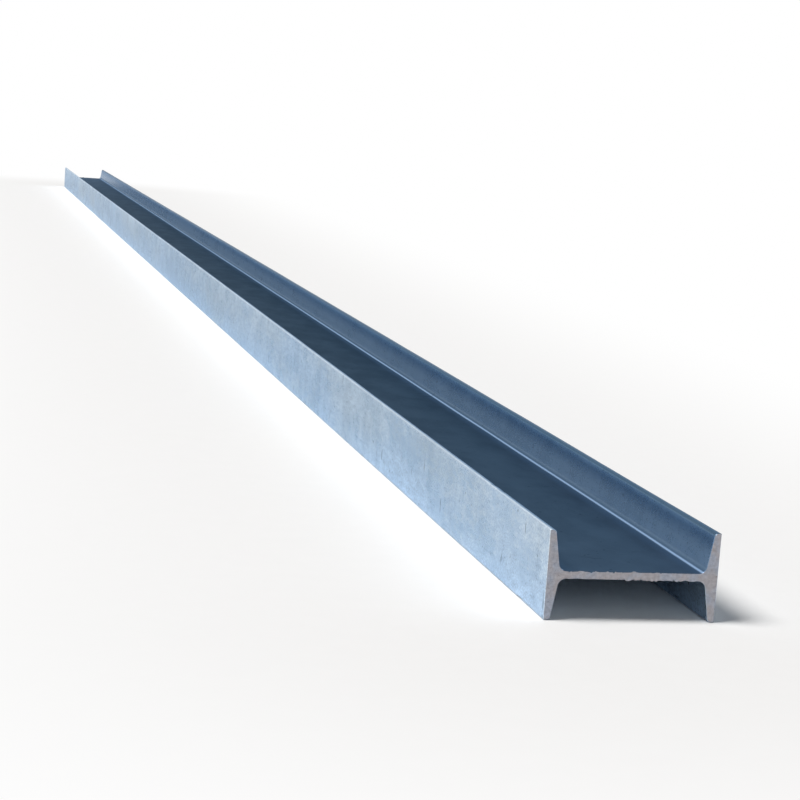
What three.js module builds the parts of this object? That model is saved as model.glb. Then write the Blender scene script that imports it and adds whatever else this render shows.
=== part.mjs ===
// Hot-rolled steel I-beam, size 20b, with tapered flanges, cut to a 9 m stock length.
//
// Lengths are in millimetres. X runs across the section from flange to flange, Y runs along
// the bar, and Z is up. The bar lies as it is stacked: its web is level, its flanges stand on
// edge, and it rests on the toes of both flanges. Z = 0 is the surface that it lies on.

import { ExtrudeGeometry, Group, Mesh, MeshStandardMaterial, Shape } from 'three';

// Rolled section
const sectionDepth = 200;      // from the outside of one flange to the outside of the other
const flangeWidth = 102;       // from toe to toe
const webThickness = 9;
const flangeThickness = 11.4;  // measured halfway between the toe and the web's face
const flangeTaper = 1 / 6;     // how fast a flange thickens towards the web
const rootRadius = 9;          // hollow corner where web and flange meet
const toeRadius = 4.5;         // round on the inner edge of each toe
const edgeRadius = 1.5;        // slight round that the rolls leave on the outer edge

// Cut length
const barLength = 9000;

// Facets on each rolled corner
const cornerFacets = 8;

const halfDepth = sectionDepth / 2;
const halfWidth = flangeWidth / 2;
const halfWeb = webThickness / 2;

// A flange's inner face leans by the taper angle. Moving a round's centre off that face by its
// radius moves it across the section by the radius times this stretch.
const taperAngle = Math.atan(flangeTaper);
const taperStretch = Math.hypot(1, flangeTaper);

// Distance from the section's middle to a flange's inner face, at a height above the web's
// middle. The nominal thickness falls halfway along the part of the flange that stands clear.
const gaugeHeight = (halfWidth + halfWeb) / 2;

function innerFace(height) {
  return halfDepth - flangeThickness + flangeTaper * (height - gaugeHeight);
}

// The toe is as thick as the taper leaves it, and its two rounds share that thickness.
const toeThickness = halfDepth - innerFace(halfWidth);
const outerRound = Math.min(edgeRadius, 0.3 * toeThickness);
const toeRound = Math.min(toeRadius, 0.9 * (toeThickness - outerRound));

const outerCentre = {
  x: halfDepth - outerRound,
  y: halfWidth - outerRound,
};

const toeHeight = halfWidth - toeRound;
const toeCentre = {
  x: innerFace(toeHeight) + toeRound * taperStretch,
  y: toeHeight,
};

const rootHeight = halfWeb + rootRadius;
const rootCentre = {
  x: innerFace(rootHeight) - rootRadius * taperStretch,
  y: rootHeight,
};

// Half of the section's outline, anticlockwise: up round one toe, down the flange's inner face,
// across the web, and up and over the toe on the other side. The second half is the same,
// turned by half a turn about the section's middle.
function drawHalf(outline, turn) {
  const side = Math.cos(turn);
  const quarter = Math.PI / 2;

  const round = (centre, mirror, radius, from, to, clockwise) => {
    outline.absarc(
      side * mirror * centre.x,
      side * centre.y,
      radius,
      turn + from,
      turn + to,
      clockwise,
    );
  };

  round(outerCentre, 1, outerRound, 0, quarter, false);
  round(toeCentre, 1, toeRound, quarter, 2 * quarter - taperAngle, false);
  round(rootCentre, 1, rootRadius, -taperAngle, -quarter, true);
  round(rootCentre, -1, rootRadius, -quarter, taperAngle - 2 * quarter, true);
  round(toeCentre, -1, toeRound, taperAngle, quarter, false);
  round(outerCentre, -1, outerRound, quarter, 2 * quarter, false);
}

const section = new Shape();
drawHalf(section, 0);
drawHalf(section, Math.PI);
section.closePath();

// The rolls draw this one outline along the whole bar, and a saw cuts both ends square.
const bar = new ExtrudeGeometry(section, {
  depth: barLength,
  steps: 1,
  curveSegments: cornerFacets / 2,
  bevelEnabled: false,
});

// Stand the outline up, centre the bar along Y, and set it down on its toes.
bar.rotateX(Math.PI / 2);
bar.translate(0, barLength / 2, halfWidth);

const galvanisedSteel = new MeshStandardMaterial({
  name: 'galvanised_steel',
  color: 0xb4bac2,
  metalness: 0.85,
  roughness: 0.45,
});

const beam = new Mesh(bar, galvanisedSteel);
beam.name = 'i_beam';

const group = new Group();
group.name = 'steel_i_beam';
group.add(beam);

export default group;
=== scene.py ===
# %% [markdown]
# # A rolled steel beam, galvanised and sawn to length
# One bar of taper-flange I-section, lying on its side with its web level.
# The real thing is a single piece of steel: the rolls of a mill press the
# whole section out of one hot billet, a bath of zinc coats it, and a saw
# cuts it to length. This lesson draws the bar from its drawing sizes,
# roughens what the mill and the saw roughen, makes its two finishes, and
# lights it on a pale floor.

# %% Load the frame that the bar is built in
import math

import bmesh
import bpy
from mathutils import Matrix, Vector


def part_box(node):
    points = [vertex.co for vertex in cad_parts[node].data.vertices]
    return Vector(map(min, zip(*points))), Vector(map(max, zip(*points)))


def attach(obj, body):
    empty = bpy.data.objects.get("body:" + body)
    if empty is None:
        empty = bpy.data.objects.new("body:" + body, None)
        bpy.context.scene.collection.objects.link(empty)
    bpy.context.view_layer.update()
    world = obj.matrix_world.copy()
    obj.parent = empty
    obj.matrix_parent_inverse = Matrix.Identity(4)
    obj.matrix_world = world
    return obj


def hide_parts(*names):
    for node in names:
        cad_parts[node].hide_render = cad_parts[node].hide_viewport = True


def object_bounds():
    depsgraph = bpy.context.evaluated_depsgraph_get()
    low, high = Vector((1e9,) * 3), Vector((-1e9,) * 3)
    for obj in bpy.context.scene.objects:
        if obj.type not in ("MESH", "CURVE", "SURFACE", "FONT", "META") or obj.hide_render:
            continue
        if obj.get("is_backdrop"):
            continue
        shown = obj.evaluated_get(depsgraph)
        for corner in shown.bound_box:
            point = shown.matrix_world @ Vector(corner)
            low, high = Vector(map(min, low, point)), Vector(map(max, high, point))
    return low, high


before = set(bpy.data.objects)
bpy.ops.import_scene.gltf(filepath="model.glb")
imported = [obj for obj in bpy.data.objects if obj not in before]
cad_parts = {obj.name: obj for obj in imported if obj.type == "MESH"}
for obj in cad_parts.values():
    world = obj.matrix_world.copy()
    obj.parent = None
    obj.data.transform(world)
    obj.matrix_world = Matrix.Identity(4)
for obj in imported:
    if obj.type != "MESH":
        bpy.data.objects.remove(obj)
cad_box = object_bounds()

print("frame box", [tuple(round(v, 4) for v in corner) for corner in cad_box])

# %% [markdown]
# ## Node maths written as sums
# A material is a graph of boxes and wires, and so is a Geometry Nodes tree.
# Sums that are wired one box at a time make long code that nobody can read.
# So one small class stands for a box's output, and using it in a Python sum
# adds the Math nodes. A second class stands for the whole tree, and one
# method of it adds any kind of box: settings first, then values or wires.

# %% Wire, an output that can be used in a sum
class Wire:
    """A node's output socket. Sums with it add Math nodes to its tree."""

    def __init__(self, board, socket):
        self.board, self.socket = board, socket

    def __add__(self, other):
        return self.board.maths("ADD", self, other)

    def __radd__(self, other):
        return self.board.maths("ADD", other, self)

    def __sub__(self, other):
        return self.board.maths("SUBTRACT", self, other)

    def __rsub__(self, other):
        return self.board.maths("SUBTRACT", other, self)

    def __mul__(self, other):
        return self.board.maths("MULTIPLY", self, other)

    def __rmul__(self, other):
        return self.board.maths("MULTIPLY", other, self)

    def __truediv__(self, other):
        return self.board.maths("DIVIDE", self, other)

    def __rtruediv__(self, other):
        return self.board.maths("DIVIDE", other, self)

    def __pow__(self, other):
        return self.board.maths("POWER", self, other)

    def __rpow__(self, other):
        return self.board.maths("POWER", other, self)

    def __mod__(self, other):
        return self.board.maths("FLOORED_MODULO", self, other)

    def __rmod__(self, other):
        return self.board.maths("FLOORED_MODULO", other, self)

    def __lt__(self, other):
        return self.board.maths("LESS_THAN", self, other)

    def __gt__(self, other):
        return self.board.maths("GREATER_THAN", self, other)

    def __abs__(self):
        return self.board.maths("ABSOLUTE", self)


print("a wire can be used with + - * / ** % < > and abs()")

# %% Board, a tree that nodes are added to
class Board:
    """A node tree. add() makes any node; the other methods are short forms."""

    def __init__(self, tree):
        self.tree = tree

    def plug(self, value, socket):
        """Wires a value to a socket, or sets the socket to a plain value."""
        if isinstance(value, Wire):
            self.tree.links.new(value.socket, socket)
        else:
            socket.default_value = value

    def add(self, kind, settings=None, sockets=None, out=0):
        """Adds a node; its sockets are named, or numbered from 0."""
        node = self.tree.nodes.new(kind)
        for name, value in (settings or {}).items():
            setattr(node, name, value)
        for name, value in (sockets or {}).items():
            self.plug(value, node.inputs[name])
        return Wire(self, node.outputs[out]) if node.outputs else None

    def maths(self, operation, *values):
        settings = {"operation": operation}
        return self.add("ShaderNodeMath", settings, dict(enumerate(values)))

    def most(self, first, second):
        return self.maths("MAXIMUM", first, second)

    def least(self, first, second):
        return self.maths("MINIMUM", first, second)

    def vector(self, operation, *values, out=0):
        settings = {"operation": operation}
        sockets = dict(enumerate(values))
        return self.add("ShaderNodeVectorMath", settings, sockets, out)

    def join(self, x, y, z):
        return self.add("ShaderNodeCombineXYZ", None, {0: x, 1: y, 2: z})

    def split(self, vector):
        parts = self.add("ShaderNodeSeparateXYZ", None, {0: vector})
        return [Wire(self, socket) for socket in parts.socket.node.outputs]


print("a board can", ", ".join(n for n in vars(Board) if n[0] != "_"))

# %% Short forms for the nodes that come up again and again
def ease(value, low, high, start=0.0, end=1.0):
    """Goes smoothly from start to end while value goes from low to high."""
    return value.board.add(
        "ShaderNodeMapRange",
        {"interpolation_type": "SMOOTHSTEP"},
        {"Value": value, "From Min": low, "From Max": high,
         "To Min": start, "To Max": end},
    )


def noise(place, stretch, detail=2.0, roughness=0.5):
    """Soft noise from 0 to 1; stretch is its number of lumps to the metre."""
    board = place.board
    if isinstance(stretch, (int, float)):
        stretch = (stretch, stretch, stretch)
    place = board.vector("MULTIPLY", place, tuple(map(float, stretch)))
    return board.add(
        "ShaderNodeTexNoise",
        {"noise_dimensions": "3D"},
        {"Vector": place, "Scale": 1.0, "Detail": detail,
         "Roughness": roughness},
    )


def blend(factor, first, second):
    """A colour that goes from the first to the second."""
    settings = {"data_type": "RGBA", "blend_type": "MIX"}
    sockets = {0: factor, 6: first, 7: second}
    return factor.board.add("ShaderNodeMix", settings, sockets, 2)


def tinted(tone, red, green, blue):
    """A colour from one tone, a little stronger in some of its parts."""
    sockets = {0: tone * red, 1: tone * green, 2: tone * blue}
    return tone.board.add("ShaderNodeCombineColor", None, sockets)


print("short forms: ease, noise, blend and tinted")

# %% [markdown]
# ## The sizes of the bar
# The mill's drawing gives the section: depth, flange width, web, flange
# thickness at the gauge line half way out, the 1 in 6 taper of the flanges'
# inner faces, and the rounds that the rolls leave. The outer sizes could be
# typed in as well, but they are read off the frame, so that the bar always
# fits it. All of it is in metres.

# %% Drawing sizes
low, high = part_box("i_beam")
bar_length = high.y - low.y
section_depth = high.x - low.x
flange_width = high.z - low.z
web_height = (high.z + low.z) / 2
web_thickness = 0.009
flange_thickness = 0.0114
flange_taper = 1 / 6
root_radius = 0.009
toe_radius = 0.0045
edge_radius = 0.0015
print("bar", round(bar_length, 3), "m long, section",
      round(section_depth, 3), "x", round(flange_width, 3), "m")

# %% [markdown]
# ## The bar as a Geometry Nodes tree
# The shape follows a rule, so a tree can draw it from named sizes, and the
# same tree would draw any other size of bar. It could be modelled by hand,
# but then every round would be placed by eye. The tree works on a bar
# centred on the origin and lifts it to its place at the end.

# %% What the tree is told
sizes = {
    "Section Depth": section_depth, "Flange Width": flange_width,
    "Web Thickness": web_thickness, "Flange Thickness": flange_thickness,
    "Flange Taper": flange_taper, "Root Radius": root_radius,
    "Toe Radius": toe_radius, "Edge Radius": edge_radius,
    "Bar Length": bar_length, "Web Height": web_height,
    "Web Step": 0.00145, "Flange Step": 0.006,
    "First Ring": 0.0006, "Ring Growth": 1.058,
    "Mill Wave": 0.0003, "Toe Nick": 0.0013,
    "Saw Burr": 0.0015, "Saw Bite": 0.0026,
    "Cut Rim": 0.0005, "Cut Wander": 0.0004, "Seed": 4.0,
}
rings_in_half = 107
choices = {"Rings In Half": "NodeSocketInt", "Zinc": "NodeSocketMaterial",
           "Sawn Steel": "NodeSocketMaterial"}
print(len(sizes), "sizes and", len(choices), "other inputs")

# %% The tree and its named inputs
tree = bpy.data.node_groups.new("rolled_bar", "GeometryNodeTree")
board = Board(tree)
for name in sizes:
    tree.interface.new_socket(name, socket_type="NodeSocketFloat")
for name, kind in choices.items():
    tree.interface.new_socket(name, socket_type=kind)
tree.interface.new_socket(
    "Geometry", in_out="OUTPUT", socket_type="NodeSocketGeometry")
given = board.add("NodeGroupInput").socket.node
size = {s.name: Wire(board, s) for s in given.outputs if s.name}
print("the tree has", len(size), "named inputs")

# %% [markdown]
# ### Twelve sharp corners
# Going round the section, each quarter meets an outer corner, a toe corner
# and a root corner, forwards in one quarter and backwards in the next. All
# twelve could be typed in, but one quarter is enough: its three corners are
# worked out, and signs mirror them into the other three quarters.

# %% Where one quarter's corners are
half_depth = size["Section Depth"] / 2
half_width = size["Flange Width"] / 2
half_web = size["Web Thickness"] / 2
gauge_line = (half_width + half_web) / 2


def inner_face(height):
    """How far out a flange's tapered inner face is, at a height."""
    start = half_depth - size["Flange Thickness"]
    return start + size["Flange Taper"] * (height - gauge_line)


number = board.add("GeometryNodeInputIndex")
turn = number % 6
corner = board.least(turn, 5 - turn)
is_outer = corner < 0.5
is_root = corner > 1.5
is_toe = 1 - is_outer - is_root
corner_x = (is_outer * half_depth + is_toe * inner_face(half_width)
            + is_root * inner_face(half_web))
corner_z = is_root * half_web + (1 - is_root) * half_width
print("taper", round(math.degrees(math.atan(flange_taper)), 2), "degrees")

# %% Mirror them into the four quarters, and join the dots
right_or_left = 1 - 2 * ((number > 2.5) * (number < 8.5))
top_or_bottom = 1 - 2 * (number > 5.5)
corners = board.join(right_or_left * corner_x, top_or_bottom * corner_z, 0.0)
dots = board.add("GeometryNodeMeshLine", {"mode": "OFFSET"}, {"Count": 12})
dots = board.add("GeometryNodeSetPosition", None, {
    "Geometry": dots, "Position": corners})
outline = board.add("GeometryNodeMeshToCurve", None, {"Mesh": dots})
outline = board.add("GeometryNodeSetSplineCyclic", None, {
    "Geometry": outline, "Cyclic": True})
print("corners drawn with", len(tree.nodes), "nodes")

# %% [markdown]
# ### Round every corner by its own radius
# Fillet Curve does what the rolls do: it rounds each corner until the round
# meets both flats. A Bevel modifier would need edges picked out by hand.
# The radius and the number of steps differ from corner to corner, and the
# same three masks pick them.

# %% The rounded outline
corner_radius = (is_outer * size["Edge Radius"] + is_toe * size["Toe Radius"]
                 + is_root * size["Root Radius"])
edge_steps, round_steps = 4, 7
corner_steps = is_outer * edge_steps + (is_toe + is_root) * round_steps
outline = board.add("GeometryNodeFilletCurve", {"mode": "POLY"}, {
    "Curve": outline, "Radius": corner_radius, "Count": corner_steps})
print("rounds of", root_radius, toe_radius, edge_radius, "m")

# %% [markdown]
# ### Cut the flats into short steps
# A flat needs points along it before anything can roughen it. Even steps
# would waste most of them on the flanges, so the web gets the finest steps,
# because the saw tears its edges most.

# %% Steps along the flats
spot = board.add("GeometryNodeInputPosition")
spot_number = board.add("GeometryNodeInputIndex")
spot_count = board.add("GeometryNodeAttributeDomainSize",
                       {"component": "CURVE"}, {"Geometry": outline})
next_spot = board.add(
    "GeometryNodeFieldAtIndex",
    {"data_type": "FLOAT_VECTOR", "domain": "POINT"},
    {"Index": (spot_number + 1) % spot_count, "Value": spot})
flat_length = board.vector("DISTANCE", spot, next_spot, out=1)
flat_height = board.split(board.vector("ADD", spot, next_spot))[1] / 2
on_web = abs(flat_height) < half_web + 0.0002  # a hair over, for rounding
step = on_web * size["Web Step"] + (1 - on_web) * size["Flange Step"]
outline = board.add("GeometryNodeSubdivideCurve", None, {
    "Curve": outline, "Cuts": board.maths("FLOOR", flat_length / step)})
print("web steps", sizes["Web Step"], "flange steps", sizes["Flange Step"])

# %% [markdown]
# ### Rings along the bar
# All the fine shape is at the two sawn ends. Even rings, close enough for a
# saw burr, would need millions of faces along nine metres. So each gap is a
# fixed share longer than the one before it, starting from an end, and the
# distance from the end is the sum of a geometric series. It is scaled so
# that the series from both ends meet in the middle.

# %% The path along the bar
rings = size["Rings In Half"]
ring = board.add("GeometryNodeInputIndex")
from_end = board.least(ring, 2 * rings - ring)
growth = size["Ring Growth"]
share = (growth ** from_end - 1) / (growth ** rings - 1)
half_bar = size["Bar Length"] / 2
end_sign = 1 - 2 * (ring < rings)
path = board.add("GeometryNodeMeshLine", {"mode": "OFFSET"}, {
    "Count": 2 * rings + 1})
path = board.add("GeometryNodeSetPosition", None, {
    "Geometry": path,
    "Position": board.join(0.0, end_sign * (1 - share) * half_bar, 0.0)})
path = board.add("GeometryNodeMeshToCurve", None, {"Mesh": path})
path = board.add("GeometryNodeSetCurveNormal", {"mode": "Z_UP"}, {
    "Curve": path})
ratio = sizes["Ring Growth"]
first_gap = bar_length / 2 * (ratio - 1) / (ratio ** rings_in_half - 1)
print("first gap", round(first_gap * 1000, 2), "mm, each one",
      round(100 * ratio - 100, 1), "% longer than the one before it")

# %% Pull the outline along the path
bar = board.add("GeometryNodeCurveToMesh", None, {
    "Curve": path, "Profile Curve": outline, "Fill Caps": True})
print("plain bar drawn with", len(tree.nodes), "nodes")

# %% [markdown]
# ## What the mill, the chains and the saw leave
# No bar is perfect, and a perfect one looks false. Bump in the material
# could hint at the marks, but it can't change an outline, and these marks
# show at the edges. So each one is a depth in metres at every point, and
# one move applies them all. Most go along the point's outward direction,
# the nicks press the toes back and the wander moves the cut faces. The
# outer faces only ever move inwards, so the bar keeps its catalogue size.

# %% Directions and distances that the marks share
place = board.add("GeometryNodeInputPosition")
facing = board.add("GeometryNodeInputNormal")
outward = board.vector("NORMALIZE", board.vector(
    "MULTIPLY", facing, (1.0, 0.0, 1.0)))
across, along, up = board.split(place)
end_gap = half_bar - abs(along)
which_end = board.maths("SIGN", along)
shift = size["Seed"] * 3.7  # metres, so each seed reads another place
shifted = board.vector("ADD", place, board.join(shift, shift, shift))


def fading(distance):
    """1 at the cut, and about a third as much after each distance."""
    return board.maths("EXPONENT", end_gap / -distance)


print("seed", sizes["Seed"])

# %% [markdown]
# ### Mill wave and nicked toes
# Rolled faces wander by a few tenths of a millimetre over a hand's length,
# which shows only as a slight swim in their shine. Lifting chains nick the
# thin toes of the flanges, mostly near the ends. Both are one noise each,
# kept to their place by a mask.

# %% Wave and nicks
at_limit = board.most(
    ease(abs(across), half_depth - 0.0015, half_depth - 0.0003),
    ease(abs(up), half_width - 0.0015, half_width - 0.0003))
wave = ease(noise(shifted, (4, 3, 4), 1.0), 0.3, 0.7)
wave = size["Mill Wave"] * (wave - 0.5 + 0.5 * at_limit)

near_toe = ease(abs(up), half_width - 0.006, half_width - 0.001)
nick = ease(noise(shifted, (9, 45, 9), 1.0), 0.64, 0.74)
nick = size["Toe Nick"] * nick * near_toe * fading(0.8)
print("wave", sizes["Mill Wave"], "m, nicks", sizes["Toe Nick"], "m")

# %% [markdown]
# ### The sawn ends
# A saw leaves a thin bevelled rim, a face that wanders slightly, ragged
# burrs pushed out past the edge, and small bites where the edge broke away.
# The long edges of the web tear most: the top one in its left half, where
# the blade goes in, and the bottom one in its right half, where it comes
# out. The thick rounds at the roots stay clean. A mask puts the tearing
# where it belongs.

# %% Burrs and bites along the web's edges
top_sign = board.maths("SIGN", up)
web_only = (1 - ease(abs(up), half_web + 0.0003, half_web + 0.0012)) * (
    1 - ease(abs(across), half_depth - 0.026, half_depth - 0.021))
torn = web_only * ease(across * top_sign, 0.040, 0.000, 0.2, 1.0)
cut_place = board.join(across + which_end * 0.7, up * 3, shift)
cluster = ease(noise(cut_place, 34, 1.0), 0.40, 0.54)
burr = ease(noise(cut_place, 190, 3.0, 0.7), 0.49, 0.62)
burr = size["Saw Burr"] * burr * (0.25 + 0.75 * cluster)
burr = burr * torn * fading(0.0011)
bite = ease(noise(cut_place, 150, 2.0, 0.6), 0.53, 0.59)
bite = size["Saw Bite"] * bite * cluster * torn * fading(0.0016)
print("burrs", sizes["Saw Burr"], "m, bites", sizes["Saw Bite"], "m")

# %% The rim, and the wander of the cut face
rim = size["Cut Rim"] * board.most(0.0, 1 - end_gap / size["First Ring"])
wander = noise(board.join(across, up, shift + which_end), 22, 2.0)
wander = size["Cut Wander"] * wander * fading(0.006)
print("rim", sizes["Cut Rim"], "m, wander", sizes["Cut Wander"], "m")

# %% Apply all the marks in one move
inwards = wave + rim + bite - burr
offset = board.add("ShaderNodeVectorMath", {"operation": "SCALE"}, {
    0: outward, "Scale": 0 - inwards})
offset = board.vector("ADD", offset, board.join(
    0.0, 0 - which_end * wander, 0 - top_sign * nick))
lifted = board.vector("ADD", place, board.join(0.0, 0.0, size["Web Height"]))
bar = board.add("GeometryNodeSetPosition", None, {
    "Geometry": bar, "Position": lifted, "Offset": offset})
print("bar and its marks drawn with", len(tree.nodes), "nodes")

# %% [markdown]
# ### Zinc all over, bare steel on the cuts
# The bar was sawn after its bath, so the two end faces are bare. Faces
# could be picked by hand in Edit Mode, but these two are the only ones that
# look straight along the bar, which is how the tree finds them. The
# bevelled rim keeps its zinc and catches the light.

# %% Shading and the two materials
facing_along = board.split(board.add("GeometryNodeInputNormal"))[1]
is_cut = abs(facing_along) > 0.9  # 1 is straight along the bar
bar = board.add("GeometryNodeSetShadeSmooth", {"domain": "FACE"}, {
    "Geometry": bar, "Shade Smooth": 1 - is_cut})
bar = board.add("GeometryNodeRealizeInstances", None, {"Geometry": bar})
bar = board.add("GeometryNodeSetMaterial", None, {
    "Geometry": bar, "Material": size["Zinc"]})
bar = board.add("GeometryNodeSetMaterial", None, {
    "Geometry": bar, "Selection": is_cut, "Material": size["Sawn Steel"]})
board.add("NodeGroupOutput", None, {0: bar})
print("the whole tree has", len(tree.nodes), "nodes")

# %% [markdown]
# ## The zinc coating
# A hot-dipped coat is silver grey but never even. It cools in broad clouds,
# runs down the flanges while it is wet, keeps faint lines from the rolls
# below it, and freezes into a frost of fine crystals, with coarser flecks
# drawn out along the bar. It could be painted on as a picture, but a
# picture fits only one bar. Noise in metres covers every side of any bar,
# at its true size: one noise for each mark, stretched to the mark's own
# shape, and all of them added to one tone.

# %% A new material, empty but for its board
def new_material(name):
    material = bpy.data.materials.new(name)
    material.use_nodes = True
    material.node_tree.nodes.clear()
    return material, Board(material.node_tree)


def finish_material(board, shader):
    board.add("ShaderNodeOutputMaterial", None, {"Surface": shader})
    print("its material has", len(board.tree.nodes), "nodes")


OBJECT = 3  # the Texture Coordinate output that stays with the piece
zinc, board = new_material("zinc_coating")
place = board.add("ShaderNodeTexCoord", out=OBJECT)
across, along, up = board.split(place)
print(zinc.name, "starts with", len(board.tree.nodes), "nodes")

# %% Clouds, runs, roll lines, frost and flecks
clouds = noise(place, (3, 1.5, 5), 3.0, 0.55)
mottle = noise(place, (22, 11, 22), 3.0, 0.6)
runs = noise(place, (6, 60, 6), 3.0, 0.65)
thin_runs = ease(noise(place, (3, 150, 7), 1.0), 0.60, 0.72)
broad_runs = ease(noise(place, (2, 13, 5), 2.0, 0.6), 0.50, 0.72)
roll_lines = noise(place, (150, 0.7, 150), 2.0, 0.6)
frost_to_the_metre = 340
frost = noise(place, frost_to_the_metre, 2.0, 0.75)
frosty = ease(mottle + 0.6 * (clouds - 0.5), 0.38, 0.62)
flecks = noise(place, (120, 36, 120), 2.0, 0.6) - 0.5
grain = (frost - 0.5 + 0.5 * flecks) * (0.35 + 0.65 * frosty)

tone = 0.66 + 0.16 * (clouds - 0.5) + 0.14 * (mottle - 0.5)
tone = tone + 0.08 * (runs - 0.5) - 0.03 * thin_runs - 0.05 * broad_runs
tone = tone + 0.06 * (roll_lines - 0.5) + 0.80 * grain
# lighter high up and darker low down: a mild painted shade
tone = tone + 1.2 * (up - web_height)
print("frost crystals about", round(1000 / frost_to_the_metre, 1),
      "mm across")

# %% [markdown]
# ### Cool and warm patches
# Zinc weathers to a cooler or a warmer grey from patch to patch. Low down it is also
# painted cooler and a little darker, and high up lighter: a mild painted shade. So the
# tone is tinted two ways, and a slow noise, which leans cool towards the bottom, picks
# between them. Frost and flecks are added to that noise, so the patches' edges break into
# crystals.

# %% The colour of the clean coat
# the noise leans cool low down: part of the same mild painted shade
patches = noise(place, (2.3, 2.0, 6.0)) + 2.5 * (up - web_height)
edges = 0.7 * (frost - 0.5) + 0.5 * flecks
warm_patch = ease(patches + edges, 0.42, 0.62)
cool_grey = tinted(tone, 0.91, 1.07, 1.24)
warm_grey = tinted(tone, 0.98, 1.08, 1.16)
colour = blend(warm_patch, cool_grey, warm_grey)
print("patches about half a metre long")

# %% [markdown]
# ### Painted shade in the channel, a painted root highlight and chalky toes
# The channel between the flanges is painted as shade. The web is a dark slate, with none
# of the coat's frost, and darker further from the ends; it is also the dullest part of the
# coat. The flanges' inner faces are painted a lighter slate and, nearer the web, carry a
# patina that is only half metal. A thin bright line in the roots is a painted highlight.
# The toes turned chalky, except the upper toe of the right flange, whose inner side is
# painted dark as shade. Each of these places is found by its distance from a face of the
# drawing, in metres.

# %% Where the channel is painted as shade
right_side = ease(across, -0.02, 0.02)
half_side = section_depth / 2
half_height = flange_width / 2
gauge_height = (half_height + web_thickness / 2) / 2
inner_line = half_side - flange_thickness - flange_taper * gauge_height
web_top = web_height + web_thickness / 2
rise = up - web_top
from_web = abs(up - web_height)
from_inner_face = abs(across) - flange_taper * from_web - inner_line
channel = ease(from_inner_face - 0.003 * right_side, 0.0065, 0.0035)
channel = channel * ease(rise, -0.004, -0.001)
shaded_web = channel * ease(rise, 0.0100, 0.0005)
patina = channel * ease(rise, 0.042, 0.016) * ease(rise, 0.002, 0.006)
print("web top at", round(web_top, 4), "m, inner faces start",
      round(inner_line, 4), "m out")

# %% The slate colours, painted as shade
# the flanges' inner faces are painted a lighter slate, as shade
wall_tone = 0.30 + 0.05 * (mottle - 0.5) + 0.06 * (runs - 0.5)
wall_grey = tinted(wall_tone, 0.58, 0.98, 1.49)
colour = blend(channel * 0.92, colour, wall_grey)
# the web is painted a dark slate as shade, darker further from the ends
slate_near_ends = (0.033, 0.052, 0.082, 1.0)
slate_mid_bar = (0.005, 0.008, 0.013, 1.0)
end_gap = bar_length / 2 - abs(along)
deeper_shade = 1 - board.maths("EXPONENT", 0 - end_gap)
slate = blend(deeper_shade, slate_near_ends, slate_mid_bar)
colour = blend(shaded_web * (0.92 + 0.16 * (mottle - 0.5)), colour, slate)
print("two thirds of the darkening is in the first metre from an end")

# %% The painted root highlight, and a lighter band beside it
# beside the roots the web's painted shade is lightened to a brighter blue, fading out by
# about 20 mm from the flanges
root_side_blue = (0.07, 0.125, 0.21, 1.0)
highlight_blue = (0.48, 0.66, 0.92, 1.0)
beside_roots = shaded_web * ease(from_inner_face, -0.020, -0.007)
colour = blend(beside_roots * 0.35, colour, root_side_blue)
# a thin bright line along the roots: a painted highlight
root_highlight = channel * ease(rise, 0.0004, 0.0011) * ease(rise, 0.0026, 0.0014)
colour = blend(root_highlight * 0.5, colour, highlight_blue)
print("bright line about 2 mm high, in the roots")

# %% Where the toes chalked, and the painted shade on the upper right toe
chalk_grey = (0.42, 0.51, 0.61, 1.0)
toe_shade_grey = (0.05, 0.06, 0.072, 1.0)
chalk = ease(from_web, half_height - 0.0032, half_height - 0.0005)
chalk = chalk * ease(mottle, 0.35, 0.6, 0.6, 1.0) * (1 - channel)
colour = blend(chalk * 0.7, colour, chalk_grey)
# inside the channel the upper toe of the right flange is painted dark: painted shade
shaded_toe = ease(from_web, half_height - 0.0050, half_height - 0.0015)
shaded_toe = channel * right_side * shaded_toe
colour = blend(shaded_toe * 0.70, colour, toe_shade_grey)
print("chalk and dust on the toes' last 3 to 5 mm")

# %% Scuffs and specks of dirt
outside = ease(abs(across), half_side - 0.006, half_side - 0.002)
scuff = ease(noise(place, (22, 90, 22)), 0.695, 0.745)
scuff = scuff * board.most(outside, shaded_web)
speck = ease(noise(place, 120, 1.0), 0.74, 0.78)
dirt_black = (0.02, 0.028, 0.04, 1.0)
dirt = board.most(scuff * 0.48, speck * 0.6)
colour = blend(dirt, colour, dirt_black)
print("the coat's colour takes", len(board.tree.nodes), "nodes")

# %% [markdown]
# ### How the coat shines
# A new coat of zinc flashes white when it is seen at a glancing angle. An old one has lost
# that, so the shader's Specular Tint takes the flash down to a blue grey. The coat is
# dullest on the web between the flanges, and the frost gives it a slight relief that
# breaks up its shine.

# %% The zinc's shader
uneven = 0.12 * (clouds - 0.5) + 0.06 * (runs - 0.5)
uneven = uneven + 0.30 * grain + 0.06 * frosty
rough = 0.27 + 0.32 * shaded_web + uneven * (1 - 0.7 * channel)
rough = rough + 0.15 * dirt + 0.25 * chalk
relief = 0.15 * clouds + 0.10 * runs + 0.30 * frost
relief = relief + 0.10 * roll_lines - 0.20 * dirt
bump = board.add("ShaderNodeBump", None, {
    "Strength": 0.3, "Distance": 0.0005, "Height": relief})
old_flash = (0.42, 0.53, 0.66, 1.0)
shader = board.add("ShaderNodeBsdfPrincipled", None, {
    "Base Color": colour, "Metallic": 1 - 0.4 * chalk - 0.45 * patina,
    "Roughness": rough, "Specular Tint": old_flash, "Normal": bump})
finish_material(board, shader)

# %% [markdown]
# ## The sawn steel
# A fresh cut is a darker, warmer grey than zinc, and duller, because the
# teeth leave it finely torn. Heat from the saw stains it in patches, and a
# few specks of scale stay in it. A plain grey would look like plastic, so
# the tearing drives the colour, the roughness and the relief together.

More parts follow.
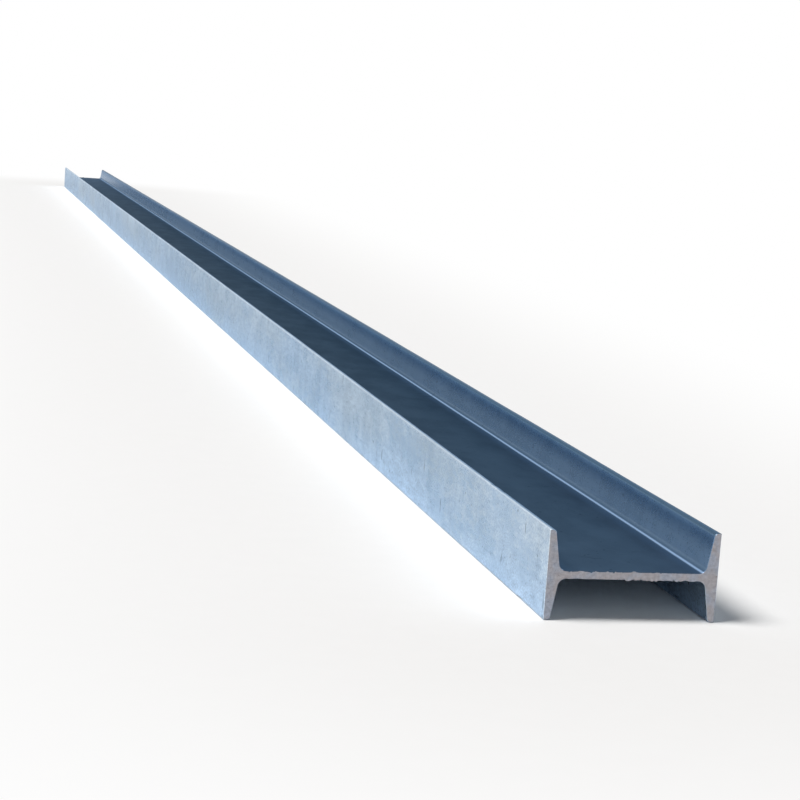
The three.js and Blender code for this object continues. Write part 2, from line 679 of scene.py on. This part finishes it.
# %% The cut faces
sawn_steel, board = new_material("sawn_steel")
place = board.add("ShaderNodeTexCoord", out=OBJECT)
tearing = noise(place, 260, 3.0, 0.6)
saw_lines = noise(place, (60, 10, 1500), 2.0, 0.6)
tone = 0.375 + 0.38 * (tearing - 0.5) + 0.14 * (saw_lines - 0.5)
stain = ease(noise(place, 45), 0.38, 0.62)
cool_grey = tinted(tone, 0.91, 0.99, 1.18)
warm_grey = tinted(tone, 1.01, 0.97, 1.03)
colour = blend(stain, cool_grey, warm_grey)
mill_scale = (0.10, 0.09, 0.09, 1.0)
scale_speck = ease(noise(place, 330, 1.0), 0.70, 0.76)
colour = blend(scale_speck * 0.6, colour, mill_scale)
bump = board.add("ShaderNodeBump", None, {
    "Strength": 0.5, "Distance": 0.0004,
    "Height": 0.5 * saw_lines + 0.5 * tearing})
shader = board.add("ShaderNodeBsdfPrincipled", None, {
    "Base Color": colour, "Metallic": 0.6,
    "Roughness": 0.48 + 0.2 * (tearing - 0.5), "Normal": bump})
finish_material(board, shader)

# %% [markdown]
# ## Running the tree
# The tree hangs on an empty mesh as a modifier. Its inputs are set by their
# sockets' identifiers, because names can repeat. The modifier could stay
# live, but a plain mesh is what other programs can read, so the result is
# taken as one, and the modifier goes.

# %% The bar as a plain mesh
def new_object(name, data):
    """Makes an object and puts it in the scene."""
    made = bpy.data.objects.new(name, data)
    bpy.context.scene.collection.objects.link(made)
    return made


beam = new_object("rolled_beam", bpy.data.meshes.new("no_bar_yet"))
maker = beam.modifiers.new("rolled_bar", "NODES")
maker.node_group = tree
values = {**sizes, "Rings In Half": rings_in_half, "Zinc": zinc,
          "Sawn Steel": sawn_steel}
for item in tree.interface.items_tree:
    if item.in_out == "INPUT":
        maker[item.identifier] = values[item.name]
graph = bpy.context.evaluated_depsgraph_get()
mesh = bpy.data.meshes.new_from_object(beam.evaluated_get(graph))
mesh.name = "rolled_beam"
beam.modifiers.clear()
beam.data = mesh
print("bar of", len(mesh.vertices), "points and", len(mesh.polygons), "faces")

# %% [markdown]
# ### Weigh it
# A bar's weight to the metre is in every steel table, so the weight of the
# finished mesh is a quick check that the section is right. A closed mesh
# has no open edge, and only a closed mesh has a true volume.

# %% Triangles, open edges and weight
steel_density = 7850
solid = bmesh.new()
solid.from_mesh(mesh)
mesh.calc_loop_triangles()
weight = solid.calc_volume() * steel_density
print("triangles", len(mesh.loop_triangles))
print("open edges", sum(not edge.is_manifold for edge in solid.edges))
print("weight", round(weight, 1), "kg,", round(weight / bar_length, 2),
      "kg to the metre")
solid.free()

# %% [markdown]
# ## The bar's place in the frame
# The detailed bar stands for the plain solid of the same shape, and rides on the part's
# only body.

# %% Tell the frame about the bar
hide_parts("i_beam")
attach(beam, "root")
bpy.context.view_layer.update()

# %% [markdown]
# ## The studio floor
# A sheet of pale paper, so large that its edge is never seen. Close to the
# bar it is plain paper, which keeps the bar's shadow. A plain sheet would
# turn grey in the distance, so further out it goes to clean white, for the
# camera and for the metal's reflections, and joins the white room without a
# line.

# %% The sheet
half_sheet = 150.0
floor_mesh = bpy.data.meshes.new("studio_floor")
floor_mesh.from_pydata(
    [(-half_sheet, -half_sheet, 0), (half_sheet, -half_sheet, 0),
     (half_sheet, half_sheet, 0), (-half_sheet, half_sheet, 0)],
    [], [(0, 1, 2, 3)])
floor = new_object("studio_floor", floor_mesh)
floor.location.z = -0.0005
floor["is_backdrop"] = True
print("floor", 2 * half_sheet, "m square,",
      round(-1000 * floor.location.z, 1), "mm below the bar")

# %% Its paper
def seen_rays(board):
    """1 for rays that show a thing, straight on, mirrored or through."""
    kinds = board.add("ShaderNodeLightPath").socket.node
    names = ("Is Camera Ray", "Is Glossy Ray", "Is Transmission Ray")
    straight, mirrored, through = (
        Wire(board, kinds.outputs[name]) for name in names)
    return board.most(straight, board.most(mirrored, through))


paper, board = new_material("pale_paper")
place = board.add("ShaderNodeTexCoord", out=OBJECT)
across, along, up = board.split(place)
past_end = board.most(abs(along) - bar_length / 2, 0.0)
away = (across * across + past_end * past_end) ** 0.5
fibre = noise(place, 30, 3.0)
duller_white = (0.925, 0.925, 0.925, 1.0)
paper_white = (0.945, 0.945, 0.945, 1.0)
shade = blend(fibre, duller_white, paper_white)
card = board.add("ShaderNodeBsdfPrincipled", None, {
    "Base Color": shade, "Roughness": 1.0, "Specular IOR Level": 0.0})
white = board.add("ShaderNodeEmission", None, {"Strength": 1.0})
mixed = board.add("ShaderNodeMixShader", None, {
    0: ease(away, 0.12, 1.2) * seen_rays(board), 1: card, 2: white})
finish_material(board, mixed)
floor_mesh.materials.append(paper)

# %% [markdown]
# ## The room
# Bare metal looks like whatever stands round it, so the room is as plain as
# can be: white all round, for the camera and for the metal alike. A world
# that is white for every ray would also light the floor from all sides and
# wash its shadows out. The Light Path node tells the rays apart, and the
# ones that only carry soft light to a dull surface find a dim grey instead.

# %% White to look at, grey to be lit by
room = bpy.data.worlds.new("studio_room")
room.use_nodes = True
room.node_tree.nodes.clear()
bpy.context.scene.world = room
board = Board(room.node_tree)
dim_grey = (0.16, 0.163, 0.17, 1.0)
full_white = (1.0, 1.0, 1.0, 1.0)
walls = blend(seen_rays(board), dim_grey, full_white)
backdrop = board.add("ShaderNodeBackground", None, {"Color": walls})
board.add("ShaderNodeOutputWorld", None, {"Surface": backdrop})
print("the room has", len(board.tree.nodes), "nodes")

# %% [markdown]
# ## The key light
# One broad, soft light from high on the left. An area lamp would fall off
# along nine metres. A sun lamp lights the bar evenly from end to end, and a
# wide angle keeps its shadow soft.

# %% A wide sun
lamp = bpy.data.lights.new("soft_key", "SUN")
lamp.color = (1.0, 0.985, 0.965)
lamp.energy = 2.9
lamp.angle = math.radians(28)
key = new_object("soft_key", lamp)
shines = Vector((0.6, 0.05, -1.0))
key.rotation_euler = shines.to_track_quat("-Z", "Y").to_euler()
print("the key stands", round(math.degrees(math.asin(
    -shines.normalized().z))), "degrees high")

# %% [markdown]
# ## The camera
# It stands beyond the near end, half a metre above the floor and a little
# to the left, and looks along the bar through a long lens. It could be
# aimed with a Track To constraint. Here yaw, pitch and roll are turned into
# its three axes by hand, because that shows which way each one points.

# %% The camera's axes and place
yaw, pitch, roll = (math.radians(a) for a in (12.981, 8.029, 4.112))
forward = Vector((math.sin(yaw) * math.cos(pitch),
                  math.cos(yaw) * math.cos(pitch), -math.sin(pitch)))
level_right = Vector((math.cos(yaw), -math.sin(yaw), 0))
level_up = level_right.cross(forward)
right = math.cos(roll) * level_right + math.sin(roll) * level_up
upward = math.cos(roll) * level_up - math.sin(roll) * level_right
stand = Vector((-0.7722, -6.63995, 0.54787))
lens = bpy.data.cameras.new("camera")
lens.sensor_width = 36.0
lens.lens = 93.6
lens.clip_end = 500.0
camera = new_object("camera", lens)
turned = Matrix((right, upward, -forward)).transposed().to_4x4()
camera.matrix_world = Matrix.Translation(stand) @ turned
bpy.context.scene.camera = camera
bpy.context.scene.view_settings.view_transform = "Standard"
print("camera", round(low.y - stand.y, 2), "m from the near end")

# %% Measure the dressed box and finish
dressed_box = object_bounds()
moved = max(abs(was - now) for before, after in zip(cad_box, dressed_box)
            for was, now in zip(before, after))
print("dressing the bar moved its box by", round(moved * 1000, 3), "mm")
